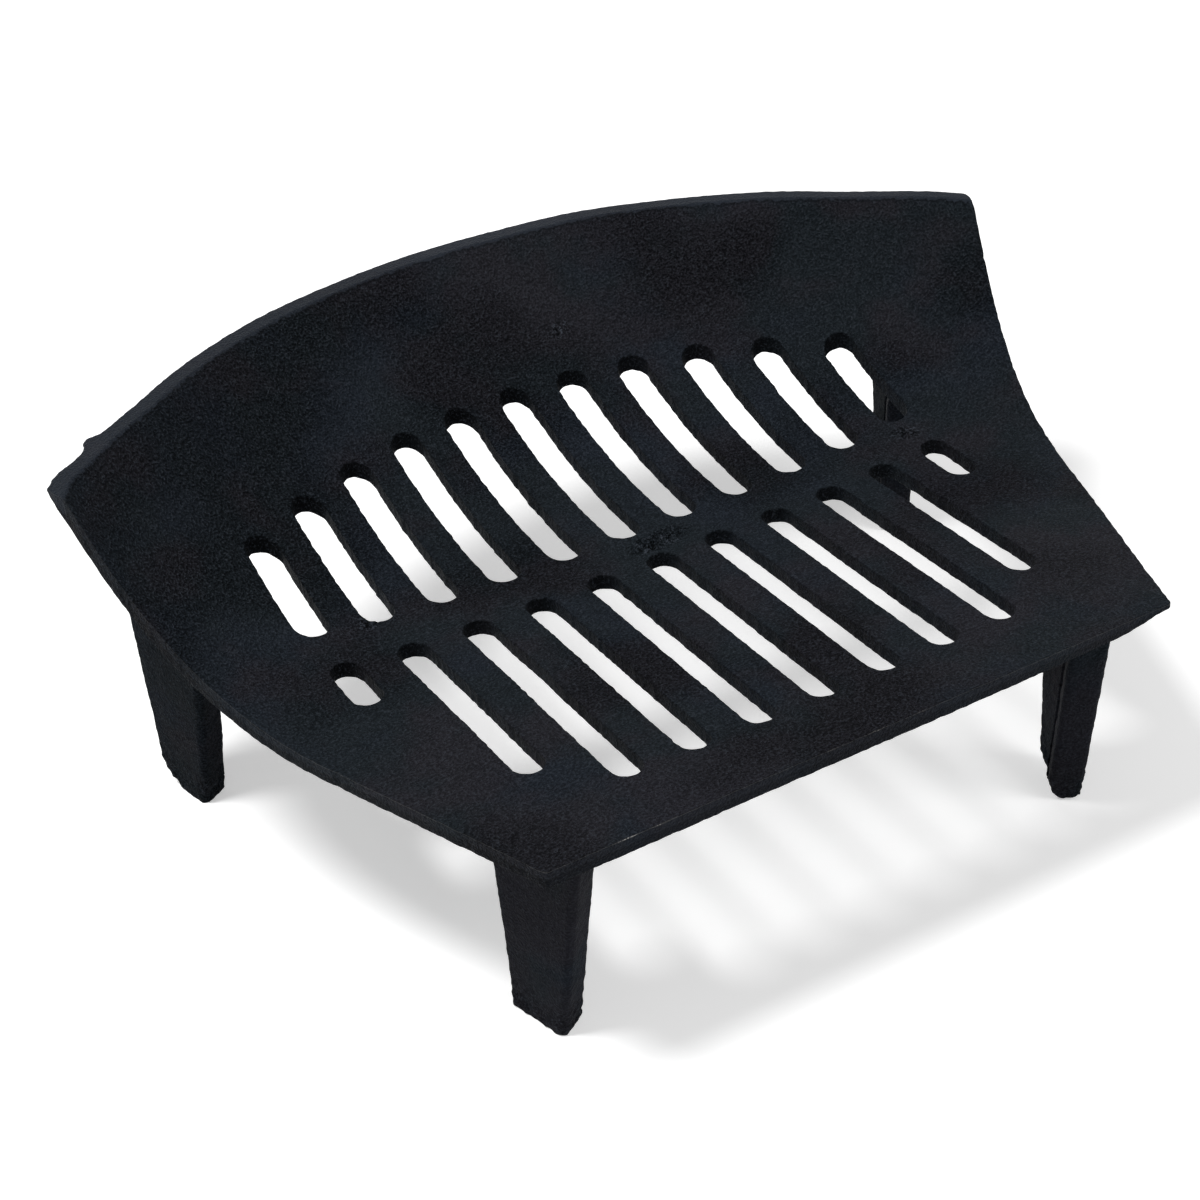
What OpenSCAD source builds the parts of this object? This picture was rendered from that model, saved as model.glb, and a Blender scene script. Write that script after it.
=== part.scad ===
// Cast log grate for an open fire.
// A slotted bed runs forward into a dished lip and stands on four angle-section legs.
// Millimetres, +Z up. The bowed lip faces -Y and the straight back edge faces +Y.
// The origin is on the floor, under the middle of the casting.

/* [Plate] */
// Front to back size of the casting
grate_depth = 287; // [260:1:300]
// Width of the straight back edge
back_width = 237; // [225:1:250]
// Angle by which each side edge opens towards the front
side_flare = 19; // [16:0.5:22]
// Thickness of the bed and the lip
plate_thickness = 5.75; // [4:0.25:7]
// Height of the bed's top face above the floor, at the middle
bed_height = 81.5; // [75:0.5:100]
// Fall of the bed towards the lip, in degrees
bed_fall = 4.2; // [0:0.1:5]
// Rounding of the back corners in plan
back_corner_radius = 4; // [1:0.5:8]
// Rounding of the two front horns in plan
horn_radius = 5; // [2:0.5:8]

/* [Lip] */
// Height of the rim above the bed
lip_rise = 61; // [50:1:75]
// Slope of the straight upper part of the lip
lip_slope = 45; // [38:1:52]
// Radius of the bend between the bed and the lip, seen from the side
bend_radius = 178; // [140:1:185]
// Radius of the rim's outer edge in plan
rim_radius = 235; // [228:1:260]
// Radius of the lip's upper surface in plan
dish_radius = 231; // [224:1:234]

/* [Slots] */
// Width of the slots in the bed
bed_slot_width = 11.25; // [8:0.25:13]
// Width of the slots in the lip
lip_slot_width = 12.25; // [8:0.25:13]
// Distance between neighbouring slots
slot_pitch = 24; // [21:0.5:25]
// Solid strip between the longest slots and the back edge
back_margin = 24.5; // [16:0.5:30]
// Width of the spine left between the two rows of slots
spine_width = 15.5; // [12:0.5:18]
// Distance of the spine's middle behind the origin
spine_offset = 4.8; // [0:0.2:8]
// Radius to which the spine and the back row bow
row_bow_radius = 2280; // [1500:10:3000]
// Distance of the front ends of the middle slots in front of the origin
lip_slot_reach = 88.8; // [80:0.2:98]
// Radius of the line that the front ends of the slots follow
lip_slot_bow = 212; // [170:1:260]
// Back end of the two slots beside the back legs
leg_slot_end = 98.5; // [70:0.5:104]
// Back end of the two outermost slots
outer_slot_end = 35; // [28:0.5:60]

/* [Legs] */
// Thickness of the legs' walls at the bed
leg_wall_top = 6.5; // [5:0.25:8]
// Thickness of the legs' walls at the floor
leg_wall_foot = 5.5; // [4:0.25:7]
// Distance of the back legs' outer corner from the middle, at the bed
leg_spread = 103.25; // [101:0.25:106]
// Distance of the back legs' outer corner behind the origin, at the bed
leg_back = 135.5; // [125:0.5:138]
// Distance from the back legs forward to the front legs
leg_stagger = 169; // [162:0.5:172]
// Distance by which the front legs stand further out than the back legs
leg_flare = 50; // [42:0.5:52]
// Length of the side wall of a leg at the bed
side_wall_top = 39; // [34:0.5:42]
// Length of the side wall of a leg at the floor
side_wall_foot = 23.5; // [18:0.5:30]
// Length of the cross wall of a leg at the bed
cross_wall_top = 13; // [12:0.5:18]
// Length of the cross wall of a leg at the floor
cross_wall_foot = 12; // [10:0.5:16]
// Distance by which the outer corner of a leg comes forward from the bed to the floor
corner_rake = 10; // [6:0.5:15]
// Turn of a leg away from the front to back direction
leg_turn = 14.5; // [6:0.5:16]
// Amount by which the cross wall closes in on the side wall
cross_wall_lead = 17; // [0:0.5:20]
// Rounding of the foot's front and back corners
foot_radius = 3; // [1.5:0.25:5]
// Rounding of the cross wall's lower end
cross_tip_radius = 5; // [2:0.25:6]

/* [Hidden] */
$fn = 96;

overcut = 6;
heel_lap = 0.1;
under_height = bed_height - plate_thickness;
back_edge = grate_depth / 2;
front_edge = -grate_depth / 2;

// brings the middle of the tipped plate back over the origin
tipped_shift = (lip_rise - plate_thickness) * sin(bed_fall) / 2;

// plan outline: straight sides running out to the rim's arc at the horns
rim_centre = [0, front_edge + rim_radius];
side_normal = [cos(side_flare), sin(side_flare)];
side_along = [sin(side_flare), -cos(side_flare)];
side_distance = side_normal * [back_width / 2, back_edge];
sheet_front = front_edge - 2 * overcut;
sheet_front_width = back_width + 2 * (back_edge - sheet_front) * tan(side_flare);
back_corner_y = back_edge - back_corner_radius;
back_corner_x = (side_distance - back_corner_radius - side_normal.y * back_corner_y) / side_normal.x;
horn_off_side = side_distance - horn_radius - side_normal * rim_centre;
horn_off_rim = rim_radius - horn_radius;
horn_run = sqrt(horn_off_rim * horn_off_rim - horn_off_side * horn_off_side);
horn_centre = rim_centre + side_normal * horn_off_side + side_along * horn_run;
horn_normal = (horn_centre - rim_centre) / horn_off_rim;

// side profile of the plate, measured from the bed's top face
bend_rise = bend_radius * (1 - cos(lip_slope));
lip_straight = (lip_rise - bend_rise) / tan(lip_slope);
rim_inner = front_edge + plate_thickness / sin(lip_slope);
bend_start = rim_inner + lip_straight + bend_radius * sin(lip_slope);
profile_back = back_edge + overcut;
bend_steps = 14;
station_count = 57;
station_reach = 192;

// legs: the outer corner rakes forward on its way down
leg_top = bed_height + lip_rise;
corner_slope = corner_rake / under_height;
corner_lean = atan(corner_slope);
toe_drift = corner_rake + side_wall_foot - side_wall_top;
cross_along = [-cos(cross_wall_lead), -sin(cross_wall_lead)];
cross_inward = [sin(cross_wall_lead), -cos(cross_wall_lead)];

// slot columns, counted outwards from the middle one
outer_column = 5;
leg_column = 4;

// straight line along the spine where the bed ends and the lip begins
outer_x = outer_column * slot_pitch;
joint_y = spine_offset - outer_x * outer_x / (4 * row_bow_radius);

function bow(x, radius) = radius - sqrt(radius * radius - x * x);

function bend_angle(step) = lip_slope * step / bend_steps;

// upper side of the plate, from the back edge forward to the rim
upper_profile = concat(
    [[profile_back, 0]],
    [for (i = [0:bend_steps]) [
        bend_start - bend_radius * sin(bend_angle(i)),
        bend_radius * (1 - cos(bend_angle(i)))
    ]],
    [[rim_inner, lip_rise]]
);

// lower side of the plate, from the rim back to the back edge
lower_radius = bend_radius + plate_thickness;
lower_profile = concat(
    [[front_edge, lip_rise]],
    [for (i = [bend_steps:-1:0]) [
        bend_start - lower_radius * sin(bend_angle(i)),
        bend_radius - lower_radius * cos(bend_angle(i))
    ]],
    [[profile_back, -plate_thickness]]
);

function station_x(i) = station_reach * (2 * i / station_count - 1);

// a profile moved along the bowed path to one station across the width
function bowed(profile, x, radius) = [
    for (p = profile) [x, p.x + bow(x, radius), p.y]
];

// skin stretched between matching closed rings of points
module ring_loft(rings) {
    count = len(rings[0]);
    last = len(rings) - 1;
    points = [for (ring = rings) each ring];
    walls = [
        for (i = [0:last - 1])
            for (j = [0:count - 1])
                [
                    i * count + j,
                    (i + 1) * count + j,
                    (i + 1) * count + (j + 1) % count,
                    i * count + (j + 1) % count
                ]
    ];
    first_cap = [for (j = [0:count - 1]) j];
    last_cap = [for (j = [count - 1:-1:0]) last * count + j];
    polyhedron(points = points, faces = concat(walls, [first_cap], [last_cap]));
}

// the bed and the lip as one endless sheet, before the outline is cut
module dished_sheet() {
    ring_loft([
        for (i = [0:station_count])
            concat(
                bowed(upper_profile, station_x(i), dish_radius),
                bowed(lower_profile, station_x(i), rim_radius)
            )
    ]);
}

// all the space above the plate's lower side and above the level of the rim
module space_over_underside() {
    ceiling = lip_rise + bed_height;
    front = front_edge - bed_height;
    cover = [[profile_back, ceiling], [front, ceiling], [front, lip_rise]];
    ring_loft([
        for (i = [0:station_count])
            bowed(concat(cover, lower_profile), station_x(i), rim_radius)
    ]);
}

// waste left outside a rounded corner with two outward normals
module corner_waste(centre, radius, normal_a, normal_b) {
    reach = radius + overcut;
    translate(centre)
        difference() {
            polygon([
                [0, 0],
                normal_a * reach,
                (normal_a + normal_b) * reach / (1 + normal_a * normal_b),
                normal_b * reach
            ]);
            circle(radius);
        }
}

module plan_outline() {
    difference() {
        polygon([
            [-back_width / 2, back_edge],
            [back_width / 2, back_edge],
            [sheet_front_width / 2, sheet_front],
            [-sheet_front_width / 2, sheet_front]
        ]);
        for (side = [0, 1])
            mirror([side, 0]) {
                corner_waste([back_corner_x, back_corner_y], back_corner_radius, [0, 1], side_normal);
                corner_waste(horn_centre, horn_radius, side_normal, horn_normal);
            }
    }
}

// one slot in plan, from its front end to its back end
module slot(x, front, back, width) {
    round_end = width / 2;
    translate([x - round_end, front + round_end])
        square([width, back - front - width]);
    translate([x, front + round_end])
        circle(round_end);
    translate([x, back - round_end])
        circle(round_end);
}

function row_bow(x) = bow(x, row_bow_radius);

function back_slot_end(column, x) =
    abs(column) == outer_column ? outer_slot_end :
    abs(column) == leg_column ? leg_slot_end :
    back_edge - back_margin - row_bow(x);

function spine_y(x) = spine_offset - row_bow(x);

module bed_slots() {
    for (column = [-outer_column:outer_column]) {
        x = column * slot_pitch;
        slot(x, spine_y(x) + spine_width / 2, back_slot_end(column, x), bed_slot_width);
    }
}

module lip_slots() {
    for (column = [-outer_column:outer_column]) {
        x = column * slot_pitch;
        slot(x, bow(x, lip_slot_bow) - lip_slot_reach, spine_y(x) - spine_width / 2, lip_slot_width);
    }
}

// part of the plate between two distances from the middle, without its slots
module plate_part(front, back) {
    intersection() {
        dished_sheet();
        translate([0, 0, -plate_thickness - overcut])
            linear_extrude(plate_thickness + lip_rise + 2 * overcut)
                difference() {
                    intersection() {
                        plan_outline();
                        translate([-station_reach, front])
                            square([2 * station_reach, back - front]);
                    }
                    children();
                }
    }
}

// the plate lies level as drawn and is then tipped towards the lip
module tipped() {
    translate([0, tipped_shift, bed_height])
        rotate([bed_fall, 0, 0])
            children();
}

module bed() {
    color("#23262a")
        tipped()
            plate_part(joint_y, profile_back)
                bed_slots();
}

module lip() {
    color("#23262a")
        tipped()
            plate_part(sheet_front, joint_y)
                lip_slots();
}

function between(foot, top, z) = foot + (top - foot) * z / under_height;

function corner_y(z) = corner_slope * z - corner_rake;

function toe_y(z) = -corner_rake - side_wall_foot + toe_drift * z / under_height;

function raised(p, z) = [p.x, p.y, z];

// angle section of a leg at one height, from its outer corner round to its toe
function leg_section(z) =
    let (
        wall = between(leg_wall_foot, leg_wall_top, z),
        corner = [0, corner_y(z)],
        tip = corner + cross_along * between(cross_wall_foot, cross_wall_top, z),
        root = (wall + wall * sin(cross_wall_lead)) / cos(cross_wall_lead)
    )
    [
        raised(corner, z),
        raised(tip, z),
        raised(tip + cross_inward * wall, z),
        raised(corner + cross_inward * wall + cross_along * root, z),
        raised([-wall, toe_y(z)], z),
        raised([0, toe_y(z)], z)
    ];

// material taken off the corners of a foot; the heel's arc crosses the leaning edge, not just touches it
module foot_waste() {
    heel_inset = foot_radius * (1 - sin(corner_lean)) / cos(corner_lean) - heel_lap;
    translate([-leg_wall_top - overcut, 0, 0])
        rotate([90, 0, 90])
            linear_extrude(leg_wall_top + 2 * overcut) {
                corner_waste([toe_y(0) + foot_radius, foot_radius], foot_radius, [0, -1], [-1, 0]);
                corner_waste(
                    [corner_y(0) - heel_inset, foot_radius],
                    foot_radius,
                    [cos(corner_lean), -sin(corner_lean)],
                    [0, -1]
                );
            }
    translate([0, corner_y(0), 0])
        rotate(cross_wall_lead)
            translate([0, overcut, 0])
                rotate([90, 0, 0])
                    linear_extrude(leg_wall_top + 2 * overcut)
                        corner_waste(
                            [cross_tip_radius - cross_wall_foot, cross_tip_radius],
                            cross_tip_radius,
                            [-1, 0],
                            [0, -1]
                        );
}

// right-hand leg with its outer corner at the bed over the origin
module leg_blank() {
    rotate(leg_turn)
        difference() {
            ring_loft([leg_section(0), leg_section(leg_top)]);
            foot_waste();
        }
}

module right_back_leg() {
    difference() {
        translate([leg_spread, leg_back, 0])
            leg_blank();
        tipped()
            translate([0, 0, -plate_thickness])
                cube(2 * leg_top);
    }
}

module right_front_leg() {
    difference() {
        translate([leg_spread + leg_flare, leg_back - leg_stagger, 0])
            leg_blank();
        tipped()
            space_over_underside();
    }
}

module leg_back_right() {
    color("#1f2226")
        right_back_leg();
}

module leg_back_left() {
    color("#1f2226")
        mirror([1, 0, 0])
            right_back_leg();
}

module leg_front_right() {
    color("#1f2226")
        right_front_leg();
}

module leg_front_left() {
    color("#1f2226")
        mirror([1, 0, 0])
            right_front_leg();
}

bed();
lip();
leg_back_left();
leg_back_right();
leg_front_left();
leg_front_right();
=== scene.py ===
import math
import bpy
import numpy as np
from mathutils import Matrix, Vector, kdtree, noise
from mathutils.geometry import delaunay_2d_cdt


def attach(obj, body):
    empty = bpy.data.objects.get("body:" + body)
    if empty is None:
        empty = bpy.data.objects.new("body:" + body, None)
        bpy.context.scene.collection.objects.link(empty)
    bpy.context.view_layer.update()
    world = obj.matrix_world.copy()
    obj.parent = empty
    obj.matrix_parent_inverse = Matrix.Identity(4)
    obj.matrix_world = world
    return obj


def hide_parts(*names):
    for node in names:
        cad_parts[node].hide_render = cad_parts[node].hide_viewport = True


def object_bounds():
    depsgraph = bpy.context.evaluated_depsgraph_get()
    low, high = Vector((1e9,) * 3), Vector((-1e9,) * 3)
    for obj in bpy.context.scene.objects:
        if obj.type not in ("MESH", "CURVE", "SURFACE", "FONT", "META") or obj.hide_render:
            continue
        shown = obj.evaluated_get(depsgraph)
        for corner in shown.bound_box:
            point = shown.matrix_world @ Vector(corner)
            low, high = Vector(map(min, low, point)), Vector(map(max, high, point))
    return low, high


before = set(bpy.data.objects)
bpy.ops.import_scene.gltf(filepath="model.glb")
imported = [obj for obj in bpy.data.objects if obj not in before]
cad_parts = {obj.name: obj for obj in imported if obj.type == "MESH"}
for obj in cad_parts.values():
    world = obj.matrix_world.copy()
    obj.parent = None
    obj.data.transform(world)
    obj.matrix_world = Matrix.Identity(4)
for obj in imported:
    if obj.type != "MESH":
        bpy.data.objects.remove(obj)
cadBox = [list(corner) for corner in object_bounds()]
print("frame loaded:", sorted(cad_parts))

# the grate is drawn in millimetres with its bed level, then tipped and set down in metres
casting = {
    "depth": 287,           # back edge to rim, in plan
    "backWidth": 237,
    "flare": 19,            # degrees that each side opens forward
    "thickness": 5.75,
    "height": 81.5,         # bed's top face over the floor
    "fall": 4.2,            # degrees that the bed tips towards the lip
    "rise": 61,             # rim over the bed
    "slope": 45,            # degrees, upper part of the lip
    "bend": 178,            # radius between bed and lip
    "rimRadius": 235,
    "dishRadius": 231,
    "cornerRadius": 2.5,
    "hornRadius": 2.6,
    "arris": 0.45,          # rounding of the cast edges
    "nose": 0.7,            # rounding of the rim's outer edge
    "noseCentre": 0.9,      # how far in from the outline that rounding is centred
    "crease": 0.5           # softness of the line where the lip meets the rim's flat top
}
meshing = {                 # spacings of the mesh, in mm
    "face": 1.8,
    "edge": 1.1,
    "arc": 0.66,            # round the corners of the outline
    "slotArc": 0.88,
    "scar": 0.75,
    "crease": 1.3,
    "creaseRows": (-4.8, -2.9, -1.4, -0.5, 0.1, 0.7, 1.6, 3.2),     # behind the rim's inner line
    "faceReach": 186,       # how far to either side each kind of point is laid out
    "creaseReach": 184,
    "jointReach": 170,
    "jointPoints": 200      # along the joint of bed and lip
}
slotRows = {
    "pitch": 24,
    "eachSide": 5,          # slots of a row on each side of the middle one
    "bedWidth": 11.25,
    "lipWidth": 12.25,
    "backMargin": 24.5,
    "spine": 15.5,          # strip between the two rows
    "spineBack": 4.8,
    "rowBow": 2280,         # radius of the bend of both rows
    "reach": 88.8,          # front end of the middle slot of the lip
    "frontBow": 212,        # radius on which the front ends lie
    "legEnd": 98.5,         # back ends of the slots beside the legs
    "outerEnd": 35
}
skin = {                    # sand-cast unevenness, height in mm and size in mm
    "sway": (0.30, 60),
    "swell": (0.13, 19),
    "lumps": (0.07, 5.5),
    "grit": (0.075, 2.4),
    "raggedEdge": (0.50, 2.3),
    "toothedEdge": (0.30, 1.9)
}
# x, y, reach, push across and push back: where the casting came out of shape
swells = [
    (185, -58, 15, 0, -5.9), (138, -97, 22, 0, 2.2), (75, -131, 20, 0, -0.9),
    (-62, -134, 30, 0, -1.6), (-153, -86, 23, 0, 3.4), (-150, 0, 26, 1.2, 0),
    (-140, 60, 40, -0.8, 0), (-182, -38, 13, -0.3, 0), (-100, -68, 36, -0.7, 0.8),
    (162.5, -79.5, 4.6, 1.5, -3.6)      # the lug that a feeder left
]
# x, y, half length, half width, turn, height: rough places left on the bed and the lip
scars = [
    (-6.0, 5.2, 15.0, 6.4, 8, 3.2),
    (-116.8, 0.7, 7.0, 4.0, -20, 1.1),
    (101.5, -6.5, 6.5, 4.5, 30, 0.9),
    (-30.9, -101.5, 5.0, 3.0, 15, 0.8)
]
# x, y, radius, height: single pimples
pimples = [
    (-8.9, -124.5, 1.5, 0.7), (-14.1, -113.5, 1.3, 0.6), (-37.4, -115.5, 1.6, 0.7),
    (-20.0, -102.8, 1.2, 0.5), (2.0, -109.5, 1.3, 0.5), (-45.0, -105.5, 1.2, 0.45),
    (-159.1, -54.0, 1.3, 0.6), (-105.2, -55.8, 1.3, 0.5), (-91.7, 118.9, 1.2, -0.5),
    (-103.1, 130.5, 1.1, -0.5), (16.2, 67.7, 1.1, 0.5), (118.0, -37.5, 1.4, -0.5),
    (88.0, 82.5, 1.2, 0.5), (60.0, -93.5, 1.2, 0.4), (-70.0, -81.5, 1.2, 0.45)
]
# x, y, reach: where the paint is rubbed off the edge
rubbed = [
    (118.5, 142.4, 3.5), (90.8, 143.4, 9.0), (77.9, 143.4, 9.0), (17.0, 144.3, 5.0), (0.3, 145.1, 8.0),
    (-17.0, 145.5, 6.0), (163.2, -7.0, 5.0), (153.1, 71.1, 7.0)
]
# height, reach: what is missing under the back corner on the left, which did not fill
unfilled = [(3.2, 13), (0.9, 55)]

backEdge = casting["depth"] / 2
frontEdge = -casting["depth"] / 2
slopeAngle = math.radians(casting["slope"])
flareAngle = math.radians(casting["flare"])
fallAngle = math.radians(casting["fall"])
bendRise = casting["bend"] * (1 - math.cos(slopeAngle))
rimInner = frontEdge + casting["thickness"] / math.sin(slopeAngle)
bendStart = (rimInner + (casting["rise"] - bendRise) / math.tan(slopeAngle)
             + casting["bend"] * math.sin(slopeAngle))
tippedShift = (casting["rise"] - casting["thickness"]) * math.sin(fallAngle) / 2
rimCentre = np.array([0, frontEdge + casting["rimRadius"]])
rowReach = slotRows["eachSide"] * slotRows["pitch"]
jointY = slotRows["spineBack"] - rowReach ** 2 / (4 * slotRows["rowBow"])
noseSpread = casting["nose"] * (1 + math.sqrt(2)) - casting["noseCentre"]
halfWidth = cadBox[1][0] * 1000 - 0.02      # nothing stands past this


def bow(x, radius):
    return radius - np.sqrt(radius * radius - np.square(x))


def smooth(value, low, high):
    t = np.clip((value - low) / (high - low), 0, 1)
    return t * t * (3 - 2 * t)


def profile(t, radius, level):          # height of the bent sheet's face at distance t from front to back
    run = np.clip(bendStart - t, 0, None)
    arcRun = radius * math.sin(slopeAngle)
    arc = casting["bend"] - np.sqrt(radius ** 2 - np.clip(run, 0, arcRun) ** 2)
    return np.where(run <= 0, level, arc + np.clip(run - arcRun, 0, None) * math.tan(slopeAngle))


def topHeight(x, y):
    slope = profile(y - bow(x, casting["dishRadius"]), casting["bend"], 0)
    soft = casting["crease"]
    share = np.clip(0.5 + 0.5 * (casting["rise"] - slope) / soft, 0, 1)
    return slope * share + casting["rise"] * (1 - share) - soft * share * (1 - share)


def underHeight(x, y):
    t = y - bow(x, casting["rimRadius"])
    sheet = profile(t, casting["bend"] + casting["thickness"], -casting["thickness"])
    return sheet - noseSpread * (1 - smooth(t - frontEdge, 1, 16))


def creaseDistance(points):             # behind the line where the lip meets the rim's flat
    return points[:, 1] - bow(points[:, 0], casting["dishRadius"]) - rimInner


def swollen(points):                    # how far the finished casting lies from the drawn plan
    push = np.zeros((len(points), 2))
    for x, y, reach, across, back in swells:
        near = np.exp(-((points[:, 0] - x) ** 2 + (points[:, 1] - y) ** 2) / reach ** 2)
        push += near[:, None] * [across, back]
    return push


def setDown(points):                    # tips the drawn plate and sets it down, still in millimetres
    x, y, z = points.T
    c, s = math.cos(fallAngle), math.sin(fallAngle)
    return np.stack([x, y * c - z * s + tippedShift, y * s + z * c + casting["height"]], 1)


def bumps(points, layer, seed=0.0):     # one layer of unevenness at points in millimetres
    height, size = skin[layer]
    shift = Vector((seed, 7.3 * seed, 3.1 * seed))
    return height * np.array([noise.noise(Vector(p) / size + shift) for p in points.tolist()])


def flatPlan(points):                   # the same points on one level, for unevenness without steps at edges
    return np.c_[points[:, :2], np.zeros(len(points))]


def arcPoints(centre, radius, start, end, pitch):
    count = max(3, round(abs(end - start) * radius / pitch))
    a = np.linspace(start, end, count + 1)[:-1]
    way = np.stack([np.cos(a), np.sin(a)], 1)
    return np.asarray(centre) + radius * way, way


def linePoints(a, b, normal, pitch, through=None):
    a, b = np.asarray(a, float), np.asarray(b, float)
    count = max(2, round(np.linalg.norm(b - a) / pitch))
    s = np.linspace(0, 1, count + 1)[:-1]
    if through is not None:             # one point falls exactly on that y
        exact = (through - a[1]) / (b[1] - a[1])
        s[np.argmin(abs(s - exact))] = exact
    return a + s[:, None] * (b - a), np.tile(normal, (count, 1))


def plateOutline():                     # counterclockwise, with outward normals
    c, s = math.cos(flareAngle), math.sin(flareAngle)
    side = np.array([c, s])
    sideDistance = side @ [casting["backWidth"] / 2, backEdge]
    corner, horn, rim = casting["cornerRadius"], casting["hornRadius"], casting["rimRadius"]
    cornerY = backEdge - corner
    cornerX = (sideDistance - corner - s * cornerY) / c
    off = sideDistance - horn - side @ rimCentre
    run = math.sqrt((rim - horn) ** 2 - off ** 2)
    hornCentre = rimCentre + side * off + np.array([s, -c]) * run
    hornAngle = math.atan2(*(hornCentre - rimCentre)[::-1])
    cornerCentre = np.array([cornerX, cornerY])
    flip = np.array([-1, 1])            # to the left half
    left = side * flip
    pitch, fine = meshing["edge"], meshing["arc"]
    half, full = math.pi / 2, math.pi
    return [np.concatenate(part) for part in zip(
        linePoints([cornerX, backEdge], [-cornerX, backEdge], [0, 1], pitch),
        arcPoints(cornerCentre * flip, corner, half, full - flareAngle, fine),
        linePoints(cornerCentre * flip + left * corner, hornCentre * flip + left * horn,
                   left, pitch, jointY),
        arcPoints(hornCentre * flip, horn, full - flareAngle, full - hornAngle, fine),
        arcPoints(rimCentre, rim, full - hornAngle, 2 * full + hornAngle, pitch),
        arcPoints(hornCentre, horn, hornAngle, flareAngle, fine),
        linePoints(hornCentre + side * horn, cornerCentre + side * corner, side, pitch, jointY),
        arcPoints(cornerCentre, corner, flareAngle, half, fine)
    )]


def slotPlaces():                       # x, front end, back end and width of every slot
    places = []
    last = slotRows["eachSide"]
    for column in range(-last, last + 1):
        x = column * slotRows["pitch"]
        rowBow = float(bow(x, slotRows["rowBow"]))
        spine = slotRows["spineBack"] - rowBow
        back = backEdge - slotRows["backMargin"] - rowBow
        if abs(column) == last - 1:
            back = slotRows["legEnd"]
        if abs(column) == last:
            back = slotRows["outerEnd"]
        front = float(bow(x, slotRows["frontBow"])) - slotRows["reach"]
        places.append((x, spine + slotRows["spine"] / 2, back, slotRows["bedWidth"]))
        places.append((x, front, spine - slotRows["spine"] / 2, slotRows["lipWidth"]))
    return places


def slotLoop(x, front, back, width):    # clockwise, with normals that point into the hole
    r, pitch, fine = width / 2, meshing["edge"], meshing["slotArc"]
    low, high = front + r, back - r
    points, ways = [np.concatenate(part) for part in zip(
        arcPoints([x, low], r, 0, -math.pi, fine),
        linePoints([x - r, low], [x - r, high], [-1, 0], pitch),
        arcPoints([x, high], r, math.pi, 0, fine),
        linePoints([x + r, high], [x + r, low], [1, 0], pitch)
    )]
    return points, -ways


def insideLoop(points, loop):           # even-odd test, one edge of the loop after another
    inside = np.zeros(len(points), bool)
    x, y = points.T
    for (ax, ay), (bx, by) in zip(loop, np.roll(loop, -1, 0)):
        if ay != by:
            crosses = (ay > y) != (by > y)
            inside ^= crosses & (x < (bx - ax) * (y - ay) / (by - ay) + ax)
    return inside


def slotDistance(points, place):        # from the wall of one slot, negative inside it
    x, front, back, width = place
    y = np.clip(points[:, 1], front + width / 2, back - width / 2)
    return np.hypot(points[:, 0] - x, points[:, 1] - y) - width / 2


def hexGrid(low, high, pitch):          # rows of points, every second one moved by half a pitch
    rows = np.arange(low[1], high[1], pitch * 0.866)
    return np.array([(x + (i % 2) * pitch / 2, y) for i, y in enumerate(rows)
                     for x in np.arange(low[0], high[0], pitch)])


def farFrom(points, others, distance):  # keeps the points that have room around them
    tree = kdtree.KDTree(len(others))
    for i, (x, y) in enumerate(others):
        tree.insert((x, y, 0), i)
    tree.balance()
    return np.array([p for p in points if tree.find((*p, 0))[2] > distance]).reshape(-1, 2)


def scarReach(points, scar):            # distance from a scar's middle, 1 at its border
    x, y, half, width, turn = scar[:5]
    c, s = math.cos(math.radians(turn)), math.sin(math.radians(turn))
    dx, dy = points[:, 0] - x, points[:, 1] - y
    return np.hypot((dx * c + dy * s) / half, (dy * c - dx * s) / width)


# seven rings go round every edge, from the top face to the under face
edgeShape = {
    "turn": (90, 122, 150, 180, 203, 215, 225),     # degrees round the rim's nose
    "inset": (1, 0.29, 0, 0, 0, 0.29, 1),           # of the arris, where the edge is a plain wall
    "drop": (0, 0.29, 1, 1, 1, 0.29, 0),            # of the arris, from the nearer face
    "ragged": (0, 0.7, 1, 1, 1, 0.7, 0),
    "teeth": (0, 0.1, 0.3, 0.7, 1, 0.7, 0),
    "top": (1, 1, 1, 0.5, 0, 0, 0),                 # 1 where a ring belongs to the top face
    "sheenAndShade": (0, 0.7, 1, 1, 1, 0.8, 0.2),           # how much each ring takes of the edges' finish: painted sheen and smoother paint on the outline's walls, painted shade in the slots
    "arris": (0.35, 1, 0.55, 0, 0, 0, 0),           # how easily its paint wears through, and how much faint painted highlight it takes
    "toothPatch": 8,                                # times as large as the teeth
    "slotGrowth": 0.15                              # slots of the bed came out wider
}


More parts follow.
